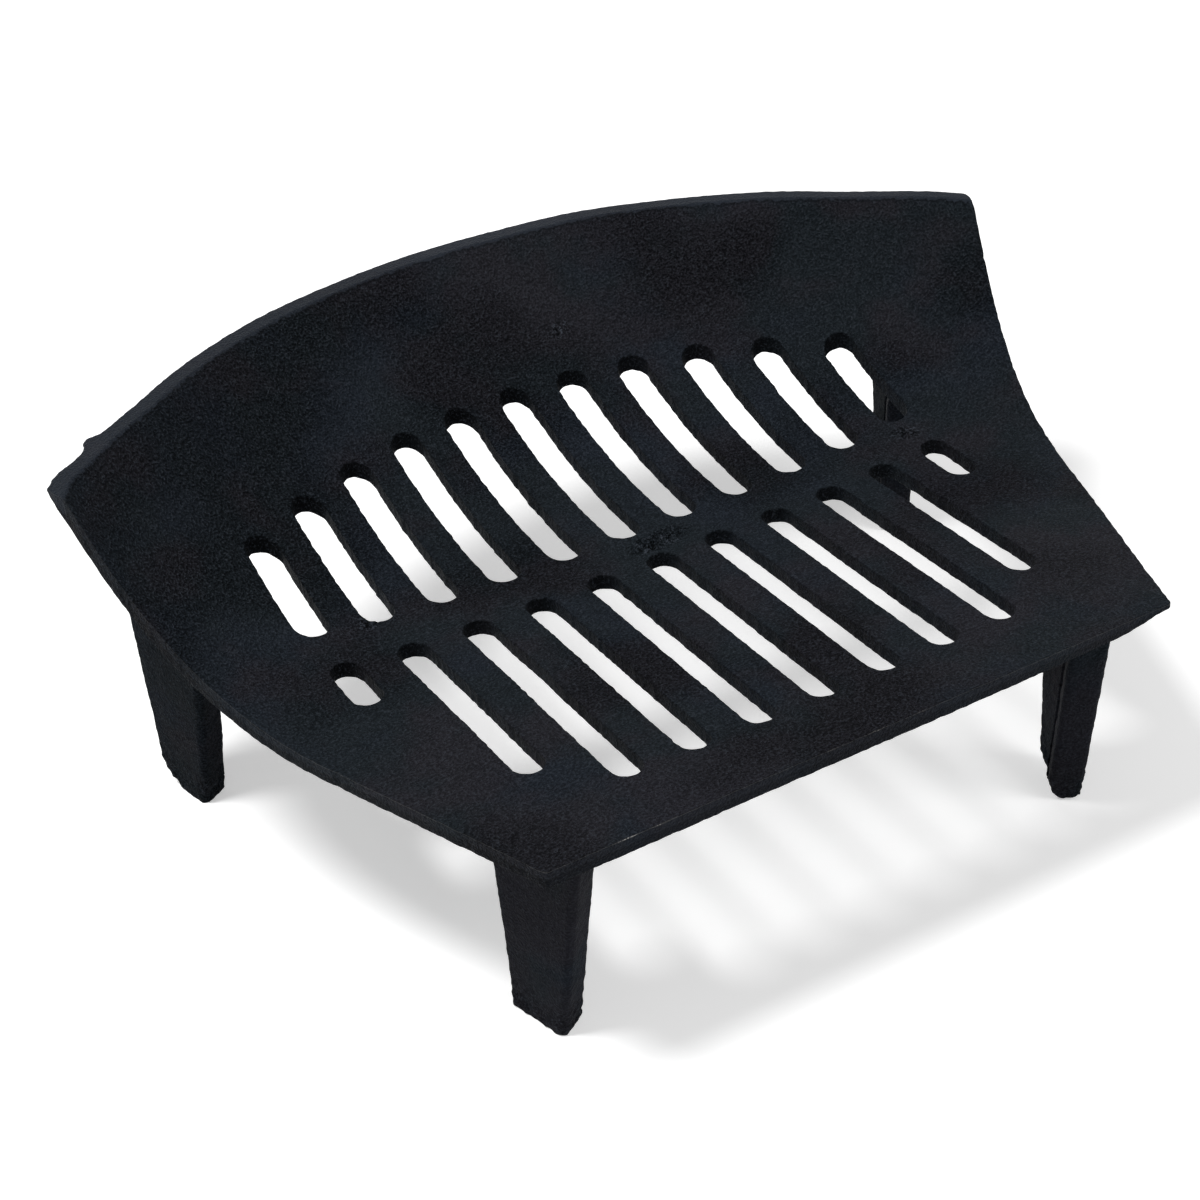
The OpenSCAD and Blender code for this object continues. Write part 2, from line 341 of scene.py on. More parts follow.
def edgeRings(points, ways, outer):
    x, y = points.T
    arris, nose = casting["arris"], casting["nose"]
    top = topHeight(x, y)
    thick = top - underHeight(x, y)
    wall = smooth(thick, 1.5, 5.5)      # 0 where the rim thins out to its nose
    ragged = bumps(np.c_[points, top], "raggedEdge", 1.7)
    patches = bumps(flatPlan(points / edgeShape["toothPatch"]), "toothedEdge", 5.1)
    patches = np.clip(patches / skin["toothedEdge"][0] * 2, 0, 1)
    toothed = np.abs(bumps(flatPlan(points), "toothedEdge", 3.3)) * patches
    rings = []
    for k, turn in enumerate(edgeShape["turn"]):
        a = math.radians(turn)
        noseIn, noseDown = casting["noseCentre"] + nose * math.cos(a), nose - nose * math.sin(a)
        inset = edgeShape["inset"][k] * arris * wall + noseIn * (1 - wall)
        inset = inset + ragged * edgeShape["ragged"][k] - toothed * edgeShape["teeth"][k]
        inset = np.maximum(inset, 0) if outer else inset - edgeShape["slotGrowth"] * (y > jointY)
        place = points - ways * inset[:, None]
        high, low = topHeight(*place.T), underHeight(*place.T)
        drop = np.minimum(edgeShape["drop"][k] * arris, thick * 0.4)
        wallZ = high - drop if k < 3 else low + drop if k > 3 else (high + low) / 2
        z = wallZ * wall + (top - noseDown) * (1 - wall)
        z = high if k == 0 else low if k == 6 else z
        rings.append(np.c_[place, z])
    return rings


def facePoints(loops, places):          # points over the faces, closer together on scars and pimples
    arris, pitch = casting["arris"], meshing["face"]
    outline, ways = loops[0]
    inner = outline - ways * (arris + 0.6)
    edges = np.concatenate([points - ways * arris for points, ways in loops])

    def onMetal(points, gap):
        keep = insideLoop(points, inner)
        for place in places:
            keep &= slotDistance(points, place) > arris + gap
        return farFrom(points[keep], edges, gap)

    def laid(points, gap, spacing):     # fixed points with those of the new ones that have room
        return np.concatenate([fixed, farFrom(onMetal(points, gap), fixed, spacing)])

    reach = meshing["jointReach"]
    chain = np.linspace(-reach, reach, meshing["jointPoints"])
    chain = onMetal(np.c_[chain, np.full(len(chain), jointY)], 0.9)
    fixed = chain
    rough = [scar[:5] for scar in scars] + [(x, y, r * 1.9, r * 1.9, 0) for x, y, r, height in pimples]
    for x, y, half, width, turn in rough:
        corner = half * 1.2
        patch = hexGrid((x - corner, y - corner), (x + corner, y + corner), meshing["scar"])
        patch = patch[scarReach(patch, (x, y, half, width, turn)) < 1.15]
        if len(patch):
            fixed = laid(patch, 0.6, 0.55)
    reach = meshing["creaseReach"]
    for t in meshing["creaseRows"]:
        x = np.arange(-reach, reach, meshing["crease"])
        fixed = laid(np.c_[x, rimInner + t + bow(x, casting["dishRadius"])], 0.7, 0.6)
    reach = meshing["faceReach"]
    grid = hexGrid((-reach, frontEdge - 2), (reach, backEdge), pitch)
    grid[:, 1] += bow(grid[:, 0], casting["dishRadius"])
    return chain, laid(grid, pitch * 0.55, pitch * 0.6)


def planOfPlate():                      # outline, slots and inner points, and the triangles between them
    places = slotPlaces()
    loops = [plateOutline()] + [slotLoop(*place) for place in places]
    chain, inside = facePoints(loops, places)
    starts, edges = [0], []
    for points, ways in loops:
        start, count = starts[-1], len(points)
        edges += [(start + i, start + (i + 1) % count) for i in range(count)]
        starts.append(start + count)
    outer = loops[0][0]
    onJoint = [int(i) for i in np.where(abs(outer[:, 1] - jointY) < 1e-6)[0]]
    left, right = sorted(onJoint, key=lambda i: outer[i, 0])
    chainIds = [left] + [starts[-1] + i for i in range(len(chain))] + [right]
    edges += list(zip(chainIds[:-1], chainIds[1:]))
    plan = np.concatenate([points - ways * casting["arris"] for points, ways in loops] + [inside])
    made = delaunay_2d_cdt([Vector(p) for p in plan.tolist()], edges, [], 1, 1e-5)
    if len(made[0]) != len(plan):
        raise SystemExit("two points of the plate's plan fell together")
    owner = np.full(len(plan), -1)
    for i in range(len(loops)):
        owner[starts[i]:starts[i + 1]] = i
    triangles = [t for t in made[2]     # without those that fill a slot
                 if not (owner[t[0]] == owner[t[1]] == owner[t[2]] and owner[t[0]] > 0)]
    print("plan of the plate:", len(plan), "points,", len(triangles), "triangles")
    return loops, starts, inside, len(chain), triangles, (left, right)


def mould(drawn, top):                  # the drawn plate as the sand left it, and where it is scarred
    level = flatPlan(drawn)
    lift = bumps(level, "sway", 2.2) + bumps(level, "swell", 4.4)
    lift += top * (bumps(level, "lumps", 6.1) + bumps(level, "grit", 8.2))
    lift += (1 - top) * (bumps(level, "lumps", 9.5) * 1.5 + bumps(level, "grit", 11.2) * 1.3)
    scarred = np.zeros(len(drawn))
    for scar in scars:
        reach = scarReach(drawn, scar)
        near = np.where((reach < 1.3) & (top > 0.5))[0]
        crust = np.array([noise.turbulence(Vector(p) / 1.7, 3, True) for p in drawn[near].tolist()])
        mask = 1 - smooth(reach[near], 0.5, 1.1)
        lift[near] += mask * scar[5] * (0.2 + 1.3 * (crust - 0.5))
        scarred[near] = np.maximum(scarred[near], mask)
    for x, y, radius, height in pimples:
        reach = np.hypot(drawn[:, 0] - x, drawn[:, 1] - y) / radius
        lift += np.where(top > 0.5, height * np.exp(-1.6 * reach ** 2), 0)
    onCrease = np.exp(-(creaseDistance(drawn) / 1.3) ** 2)
    lift += top * onCrease * bumps(level, "toothedEdge", 7.7) * 1.6
    verts = drawn.copy()
    verts[:, 2] += lift
    corner = np.hypot(drawn[:, 0] + casting["backWidth"] / 2, drawn[:, 1] - backEdge)
    missing = sum(height * np.exp(-(corner / reach) ** 2) for height, reach in unfilled)
    verts[:, 2] += (1 - top) * missing
    verts[:, :2] += swollen(drawn)
    verts[:, 0] = np.clip(verts[:, 0], -halfWidth, halfWidth)
    return verts, scarred


def plateMarks(drawn, top, loops, edgeCount):   # what the finish needs to know of each point
    edgeFace, slotShade, arris = np.zeros((3, len(drawn)))
    outerCount = len(loops[0][0])
    facing = np.concatenate([ways[:, 1] for points, ways in loops]).clip(0, 1)
    for k, share in enumerate(edgeShape["sheenAndShade"]):
        outer = slice(k * edgeCount, k * edgeCount + outerCount)
        slots = slice(k * edgeCount + outerCount, (k + 1) * edgeCount)
        # outline walls take painted sheen, more where they face backward
        edgeFace[outer] = share * (0.1 + 0.5 * facing[:outerCount])
        # slot walls take painted shade, deepest where they face backward
        slotShade[slots] = share * (0.35 + 0.65 * facing[outerCount:])
        arris[outer] = edgeShape["arris"][k]
        arris[slots] = edgeShape["arris"][k] * 0.45
    frayed = bumps(flatPlan(drawn), "toothedEdge", 4.1) * 2
    # the rim's flat takes the painted sheen too
    onRim = smooth(0.6 - creaseDistance(drawn) + frayed, -0.5, 0.5)
    edgeFace = np.maximum(edgeFace, onRim * (top > 0.4))
    # every arris takes a faint painted highlight line; near the rubbed places the paint wears through
    rubbedAndGlint = np.full(len(drawn), 0.72)
    for x, y, reach in rubbed:
        near = np.exp(-((drawn[:, 0] - x) ** 2 + (drawn[:, 1] - y) ** 2) / reach ** 2)
        rubbedAndGlint = np.maximum(rubbedAndGlint, near)
    return {"edgeFace": edgeFace, "arris": arris * rubbedAndGlint, "slotShade": slotShade}


def castPlate():                        # the whole slotted plate, with the line along which bed and lip meet
    loops, starts, inside, chainCount, triangles, jointEnds = planOfPlate()
    rings = [edgeRings(*loop, i == 0) for i, loop in enumerate(loops)]
    edgeCount, ringCount = starts[-1], len(edgeShape["turn"])
    levels = [np.concatenate([ring[k] for ring in rings]) for k in range(ringCount)]
    x, y = inside.T
    drawn = np.concatenate(levels + [np.c_[inside, topHeight(x, y)], np.c_[inside, underHeight(x, y)]])
    firstTop = ringCount * edgeCount    # inner points come after the rings, those of the top face first
    firstUnder = firstTop + len(inside)
    topOf = [*range(edgeCount), *range(firstTop, firstUnder)]
    underOf = [*range(firstTop - edgeCount, firstTop), *range(firstUnder, len(drawn))]
    faces = [tuple(topOf[i] for i in t) for t in triangles]
    faces += [tuple(underOf[i] for i in reversed(t)) for t in triangles]
    for start, end in zip(starts[:-1], starts[1:]):
        for k in range(ringCount - 1):
            a, b = k * edgeCount, (k + 1) * edgeCount
            for i in range(start, end):
                j = i + 1 if i + 1 < end else start
                faces.append((a + j, a + i, b + i, b + j))

    top = np.zeros(len(drawn))          # 1 on the top face, 0 on the under face
    for k, share in enumerate(edgeShape["top"]):
        top[k * edgeCount:(k + 1) * edgeCount] = share
    top[firstTop:firstUnder] = 1
    verts, scarred = mould(drawn, top)
    marks = plateMarks(drawn, top, loops, edgeCount)
    marks["scar"] = scarred
    columns = [[k * edgeCount + i for k in range(ringCount)] for i in jointEnds]
    chains = [list(range(first, first + chainCount)) for first in (firstTop, firstUnder)]
    return setDown(verts), drawn, faces, marks, columns, chains


def addMesh(name, verts, faces, marks, normals=None):
    mesh = bpy.data.meshes.new(name)
    mesh.from_pydata((np.asarray(verts) / 1000).tolist(), [], faces)
    mesh.polygons.foreach_set("use_smooth", np.ones(len(mesh.polygons), bool))
    for mark, values in marks.items():
        mesh.attributes.new(mark, "FLOAT", "POINT").data.foreach_set("value", values.astype(np.float32))
    mesh.validate()
    if normals is not None:
        mesh.normals_split_custom_set_from_vertices(normals.tolist())
    made = bpy.data.objects.new(name, mesh)
    bpy.context.scene.collection.objects.link(made)
    return made


def flatNormals(verts, faces):          # larger faces count for more, so flats stay flat up to the arris
    normals = np.zeros((len(verts), 3))
    for corners in (3, 4):
        group = np.array([face for face in faces if len(face) == corners])
        place = verts[group]
        across = np.cross(place[:, 2] - place[:, 0], place[:, -1] - place[:, 1])
        across *= np.linalg.norm(across, axis=1)[:, None]
        for k in range(corners):
            np.add.at(normals, group[:, k], across)
    return normals / np.linalg.norm(normals, axis=1)[:, None]


def splitPlate():                       # bed and lip meet along the spine, shaded as the one casting they are
    verts, drawn, faces, marks, columns, (chainTop, chainUnder) = castPlate()
    normals = flatNormals(verts, faces)
    onJoint = {*chainTop, *chainUnder, *columns[0], *columns[1]}
    strip = [(a, b, d, c) for a, b, c, d in zip(chainTop, chainTop[1:], chainUnder, chainUnder[1:])]
    strip.append((chainTop[0], chainUnder[0], *reversed(columns[0])))
    strip.append((chainUnder[-1], chainTop[-1], *columns[1]))
    pieces = []
    for name, isBed in (("slottedBed", True), ("dishedLip", False)):
        own = [face for face in faces
               if (np.mean([drawn[i, 1] for i in face if i not in onJoint]) > jointY) == isBed]
        own += [face[::-1] for face in strip] if isBed else strip
        used = sorted({i for face in own for i in face})
        number = {old: new for new, old in enumerate(used)}
        own = [tuple(number[i] for i in face) for face in own]
        ownMarks = {mark: values[used] for mark, values in marks.items()}
        pieces.append(addMesh(name, verts[used], own, ownMarks, normals[used]))
    return pieces


# a leg is an angle: a side wall that runs forward and a cross wall that runs inward from their corner
legShape = {
    "spread": 103.25,       # outer corner of a back leg from the middle, at the bed
    "back": 135.5,          # and behind the middle
    "stagger": 169,         # from the back legs forward to the front legs
    "flare": 50,            # front legs stand that much further out
    "wallTop": 6.5,
    "wallFoot": 5.5,
    "sideTop": 39,
    "sideFoot": 23.5,
    "crossTop": 13,
    "crossFoot": 12,
    "rake": 10,             # how far the heel comes forward on the way down
    "turn": 14.5,           # degrees, of the whole leg
    "lead": 17,             # degrees that the cross wall leads forward
    "cornerRound": 2.0,
    "endRound": 1.7,
    "innerRound": 3.8,
    "footRound": 0.6,
    "rootFillet": 3.0,
    "buried": 1.6,          # how far the top reaches into the plate
    "proud": 0.35,          # how far the cast faces stand out from the drawn ones
    "flatPoints": (7, 3, 5, 17, 3, 20),     # along the flats after each corner of the section
    "rowPitch": 1.9,
    "endPitch": 1.7
}
# rounding of the heel, the toe and the cross wall's tip of each foot
feet = {
    "backLegRight": (0.6, 1.5, 2.0),
    "backLegLeft": (4, 9, 8),
    "frontLegRight": (0.8, 14, 1.5),
    "frontLegLeft": (4, 8, 4)
}


def crossWay():                         # direction of the cross wall, from the corner inward
    lead = math.radians(legShape["lead"])
    return np.array([-math.cos(lead), -math.sin(lead)])


def legSection(z):                      # corner, cross tip, its inner side, inner corner, inner toe, toe
    part = z / (casting["height"] - casting["thickness"])
    wall = legShape["wallFoot"] + (legShape["wallTop"] - legShape["wallFoot"]) * part
    cross = legShape["crossFoot"] + (legShape["crossTop"] - legShape["crossFoot"]) * part
    lead, rake = math.radians(legShape["lead"]), legShape["rake"]
    corner = np.array([0, rake * (part - 1)])
    along = crossWay()
    inward = np.array([math.sin(lead), -math.cos(lead)])
    root = wall * (1 + math.sin(lead)) / math.cos(lead)
    reach = rake + legShape["sideFoot"]
    toe = -reach + (reach - legShape["sideTop"]) * part
    tip = corner + along * cross
    return np.array([corner, tip, tip + inward * wall, corner + inward * wall + along * root,
                     [-wall, toe], [0, toe]])


def roundedSection(z):                  # the section as a smooth loop with outward normals
    points, counts = legSection(z), legShape["flatPoints"]
    end = legShape["endRound"]
    radii = [legShape["cornerRound"], end, end, legShape["innerRound"], end, end]
    arcs = []
    for i in range(6):
        a, p, b = points[i - 1], points[i], points[(i + 1) % 6]
        u, v = (a - p) / np.linalg.norm(a - p), (b - p) / np.linalg.norm(b - p)
        half = math.acos(np.clip(u @ v, -1, 1)) / 2
        cut = radii[i] / math.tan(half)
        centre = p + (u + v) / np.linalg.norm(u + v) * radii[i] / math.sin(half)
        start, stop = p + u * cut - centre, p + v * cut - centre
        a0, a1 = math.atan2(start[1], start[0]), math.atan2(stop[1], stop[0])
        turn = (a1 - a0 + math.pi) % (2 * math.pi) - math.pi
        angles = a0 + turn * np.linspace(0, 1, 6)
        way = np.stack([np.cos(angles), np.sin(angles)], 1)
        arcs.append((centre + radii[i] * way, way if turn > 0 else -way))   # the inner corner is hollow
    loop, ways = [], []
    for i, (arc, way) in enumerate(arcs):
        s = np.linspace(0, 1, counts[i] + 2)[1:-1, None]
        a, b = arc[-1], arcs[(i + 1) % 6][0][0]
        loop += [arc, a + s * (b - a)]
        ways += [way, np.tile(way[-1], (counts[i], 1))]
    return np.concatenate(loop), np.concatenate(ways)


def footLift(p, radii):                 # how far the rounded heel, toe and cross tip leave the floor
    foot = legSection(0)
    heel = foot[0, 1] - p[:, 1]
    toe = p[:, 1] - foot[5, 1]
    tip = legShape["crossFoot"] - (p - foot[0]) @ crossWay()
    lift = np.zeros(len(p))
    for distance, radius in zip((heel, toe, tip), radii):
        part = np.clip(1 - distance / radius, 0, 0.999)
        lift = np.maximum(lift, radius * (1 - np.sqrt(1 - part ** 2)))
    return lift


def underside(p):                       # plate's lower face over floor points, and their depth inside the rim
    y = p[:, 1] - tippedShift
    c, s = math.cos(fallAngle), math.sin(fallAngle)
    z = np.full(len(p), -casting["thickness"])
    for _ in range(25):                 # the tipped plate's own y depends on the height that is looked for
        drawnY = (y + z * s) / c
        push = swollen(np.c_[p[:, 0], drawnY])
        face = underHeight(p[:, 0] - push[:, 0], drawnY - push[:, 1])
        z = 0.5 * z + 0.5 * np.minimum(face, casting["rise"] - 0.1)
    inRim = casting["rimRadius"] - np.hypot(p[:, 0] - rimCentre[0], drawnY - rimCentre[1])
    return drawnY * s + z * c + casting["height"], inRim


def legRings(name, offset, rotation):   # closed rings of points up a leg, with the ways that they face
    top = casting["height"] + casting["rise"]
    low, wayLow = roundedSection(0)
    high, wayHigh = roundedSection(top)
    lift = footLift(low, feet[name])

    def wallPoint(z, out):
        share = (z / top)[:, None]
        ways = wayLow + (wayHigh - wayLow) * share
        ways = ways / np.linalg.norm(ways, axis=1)[:, None]
        out = legShape["proud"] + np.broadcast_to(out, len(z))
        return (low + (high - low) * share + ways * out[:, None]) @ rotation + offset, ways @ rotation

    roundFoot, fillet = legShape["footRound"], legShape["rootFillet"]
    rings = []
    for part in (0, 0.3, 1):            # rounded lower edge
        z = lift + roundFoot * (1 - math.cos(math.asin(part)) if part < 1 else 1)
        p, ways = wallPoint(z, -roundFoot * (1 - math.sin(math.acos(1 - part))))
        rings.append((np.c_[p, z], ways))
    full = np.full(len(low), 80.0)      # height of the wall, closer with each round
    for _ in range(7):
        full, inRim = underside(wallPoint(full, 0)[0])
    rows = int(max(full) / legShape["rowPitch"])
    bottom = lift + roundFoot
    for i in range(1, rows):
        z = bottom + (full - fillet - bottom) * i / rows
        p, ways = wallPoint(z, 0)
        rings.append((np.c_[p, z], ways))
    joined = smooth(inRim, 0.5, 5)      # 1 where the plate covers the leg, 0 at the rim's edge
    for part in (0, 0.18, 0.38, 0.6, 0.82, 1):
        a = part * math.pi / 2
        out = fillet * (1 - math.cos(a)) * joined
        z = full - fillet * (1 - math.sin(a))
        for _ in range(4):
            p, ways = wallPoint(z, out)
            z = underside(p)[0] - fillet * (1 - math.sin(a)) * joined - (1 - joined) * fillet * (1 - part)
        rings.append((np.c_[p, z], ways))
    p, ways = wallPoint(z, out - 0.9 * (1 - joined))
    rings.append((np.c_[p, underside(p)[0] + legShape["buried"] * joined], ways))
    return rings


def capEnd(name, loop):                 # points of its own inside an end, so that it stays round
    grid = hexGrid(loop.min(0), loop.max(0), legShape["endPitch"])
    grid = farFrom(grid[insideLoop(grid, loop)], loop, 0.8)
    plan = [Vector(p) for p in np.concatenate([loop, grid]).tolist()]
    edges = [(i, (i + 1) % len(loop)) for i in range(len(loop))]
    made = delaunay_2d_cdt(plan, edges, [], 1, 1e-6)
    if len(made[0]) != len(plan):
        raise SystemExit(name + ": two points of an end fell together")
    return grid, made[2]


def castLeg(name, node, front, mirror, seed):
    turn = math.radians(legShape["turn"])
    rotation = np.array([[math.cos(turn), math.sin(turn)], [-math.sin(turn), math.cos(turn)]])
    offset = np.array([legShape["spread"] + (legShape["flare"] if front else 0),
                       legShape["back"] - (legShape["stagger"] if front else 0)])
    rings = legRings(name, offset, rotation)
    count, last = len(rings[0][0]), len(rings) - 1
    verts = np.concatenate([points for points, _ in rings])
    ways = np.concatenate([way for _, way in rings])
    faces = []
    for k in range(last):
        for i in range(count):
            j = (i + 1) % count
            faces.append((k * count + i, k * count + j, (k + 1) * count + j, (k + 1) * count + i))
    for ring, upward in ((0, False), (last, True)):
        grid, triangles = capEnd(name, rings[ring][0][:, :2])
        start = len(verts)
        if upward:
            z, inRim = underside(grid)
            z = z + legShape["buried"] * smooth(inRim, 0.5, 5)
        else:
            z = footLift((grid - offset) @ rotation.T, feet[name])
        verts = np.concatenate([verts, np.c_[grid, z]])
        ways = np.concatenate([ways, np.zeros((len(grid), 2))])
        for t in triangles:
            t = [ring * count + i if i < count else start + i - count for i in t]
            faces.append(tuple(t if upward else t[::-1]))

    # sand-cast faces, roughest at the foot
    foot = 1 - smooth(verts[:, 2], 2, 16)
    rough = bumps(verts, "swell", seed) * 1.3 + bumps(verts, "lumps", seed + 1) * 1.8
    rough += (bumps(verts, "raggedEdge", seed + 2) * (0.5 + 1.5 * foot)
              + bumps(verts, "grit", seed + 3) * (1 + 2 * foot))
    calm = smooth(verts[:, 2], 0, 1.2)
    verts[:, :2] += ways * (rough * (0.35 + 0.65 * calm))[:, None]
    verts[:, 2] += np.where(verts[:, 2] < 6, np.abs(bumps(verts, "raggedEdge", seed + 4)) * foot, 0)
    verts[:, 2] = np.clip(verts[:, 2], 0, None)
    if mirror:
        verts[:, 0] *= -1
        faces = [face[::-1] for face in faces]
    verts[:, 2] -= verts[:, 2].min() * (1 - smooth(verts[:, 2], 0, 20))     # down to the floor
    toe = smooth(verts[:, 2], 136, 138.5) if front else np.zeros(len(verts))    # where it shows at the rim; there it takes the rim's painted sheen
    plain = np.zeros(len(verts))
    leg = addMesh(name, verts, faces, {"edgeFace": toe, "arris": plain, "scar": foot * 0.3, "slotShade": plain})
    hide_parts(node)
    return leg


class Signal:                           # a node's socket that takes part in Python expressions
    def __init__(self, finish, socket):
        self.finish = finish
        self.socket = socket

    def math(self, operation, *values):
        return self.finish.add("ShaderNodeMath", {"operation": operation}, dict(enumerate(values)))

    def __add__(self, other):
        return self.math("ADD", self, other)

    def __radd__(self, other):
        return self.math("ADD", other, self)

    def __sub__(self, other):
        return self.math("SUBTRACT", self, other)

    def __rsub__(self, other):
        return self.math("SUBTRACT", other, self)

    def __mul__(self, other):
        return self.math("MULTIPLY", self, other)

    def __rmul__(self, other):
        return self.math("MULTIPLY", other, self)

    def above(self, low, high):         # soft step from 0 at low to 1 at high
        return self.finish.add("ShaderNodeMapRange", {"interpolation_type": "SMOOTHSTEP"},
                               {"Value": self, "From Min": low, "From Max": high})


class Finish:                           # the nodes of one material, or of the world
    def __init__(self, owner):
        self.owner = owner
        owner.use_nodes = True
        self.tree = owner.node_tree
        self.tree.nodes.clear()

    def add(self, kind, settings=None, inputs=None, output=0):
        node = self.tree.nodes.new(kind)
        for key, value in (settings or {}).items():
            setattr(node, key, value)
        for key, value in (inputs or {}).items():
            if isinstance(value, Signal):
                self.tree.links.new(value.socket, node.inputs[key])
            else:
                node.inputs[key].default_value = value
        return Signal(self, node.outputs[output]) if node.outputs else None

    def blend(self, share, a, b):       # colours a and b
        a, b = [(*c, 1) if isinstance(c, tuple) else c for c in (a, b)]
        return self.add("ShaderNodeMix", {"data_type": "RGBA"}, {0: share, 6: a, 7: b}, 2)

    def seen(self):                     # 1 for what the camera, a gloss or glass sees straight away
        camera, glossy, through = [self.add("ShaderNodeLightPath", None, None, kind)
                                   for kind in ("Is Camera Ray", "Is Glossy Ray", "Is Transmission Ray")]
        return camera.math("MAXIMUM", camera.math("MAXIMUM", camera, glossy), through)

    def mark(self, name):
        return self.add("ShaderNodeAttribute", {"attribute_name": name}, None, "Fac")

    def noise(self, where, size, detail=2.0, rough=0.5):
        return self.add("ShaderNodeTexNoise", None,
                        {"Vector": where, "Scale": 1 / size, "Detail": detail, "Roughness": rough})


blackPaint = {
    "dark": (0.0120, 0.0158, 0.0194),
    "blue": (0.0130, 0.0168, 0.0230),
    "brown": (0.0192, 0.0178, 0.0222),
    "edge": (0.0175, 0.0215, 0.0290),   # painted sheen: a lighter bluish colour on the rim's flat and the edge faces
    "wearAndArrisGlint": (0.42, 0.41, 0.39),         # bare iron where the paint is rubbed off the arrises, also a faint painted highlight line along every arris
    "light": (0.050, 0.058, 0.072),     # painted highlights on the tops of the sand grains, and light flecks on scars
    "nearBlack": (0.0014, 0.0018, 0.0024),   # painted shade in the hollows between them, in the slots and along the rim's inner line, and dark flecks on scars
    "roughness": 0.50,
    "edgeRoughness": 0.42,
    "grain": 1.4,                       # height of the sand grain
    "coarseGrain": 4.2,                 # and where the mould was coarse
    "hollows": (0.52, 0.26),            # share of painted shade in the hollows, and what coarse sand adds to it
    "tops": (0.30, 0.24),               # the same for the painted highlights on the tops
    "sizes": {                          # of the patterns, in mm
        "coarse": 60, "regions": 46, "warmAndSheen": 31, "broken": 9, "cloud": 7, "waves": 3.4, "pits": 2.6,
        "fray": 2.4, "crumbs": 1.7, "crust": 1.6, "pebbles": 1.25, "specks": 0.9, "sand": 0.85, "dust": 0.45
    }
}


def grainHeight(finish, mm, sand, coarse, edge, scar):      # in millimetres
    size = blackPaint["sizes"]
    pebbles = finish.add("ShaderNodeTexVoronoi", {"feature": "SMOOTH_F1"},
                         {"Vector": mm, "Scale": 1 / size["pebbles"]})
    pits = finish.add("ShaderNodeTexVoronoi", None, {"Vector": mm, "Scale": 1 / size["pits"]})
    pitted = 1 - pits.above(0.10, 0.42)
    grain = blackPaint["grain"] + coarse * (blackPaint["coarseGrain"] - blackPaint["grain"])
    height = sand * grain - pebbles * coarse * 0.40 - pitted * coarse * 0.20
    height = height + finish.noise(mm, size["dust"], 2) * 0.16
    height = height * (1 - edge * 0.62) + finish.noise(mm, size["crust"], 4) * scar * 0.6
    return height + finish.noise(mm, size["waves"], 2) * 0.22


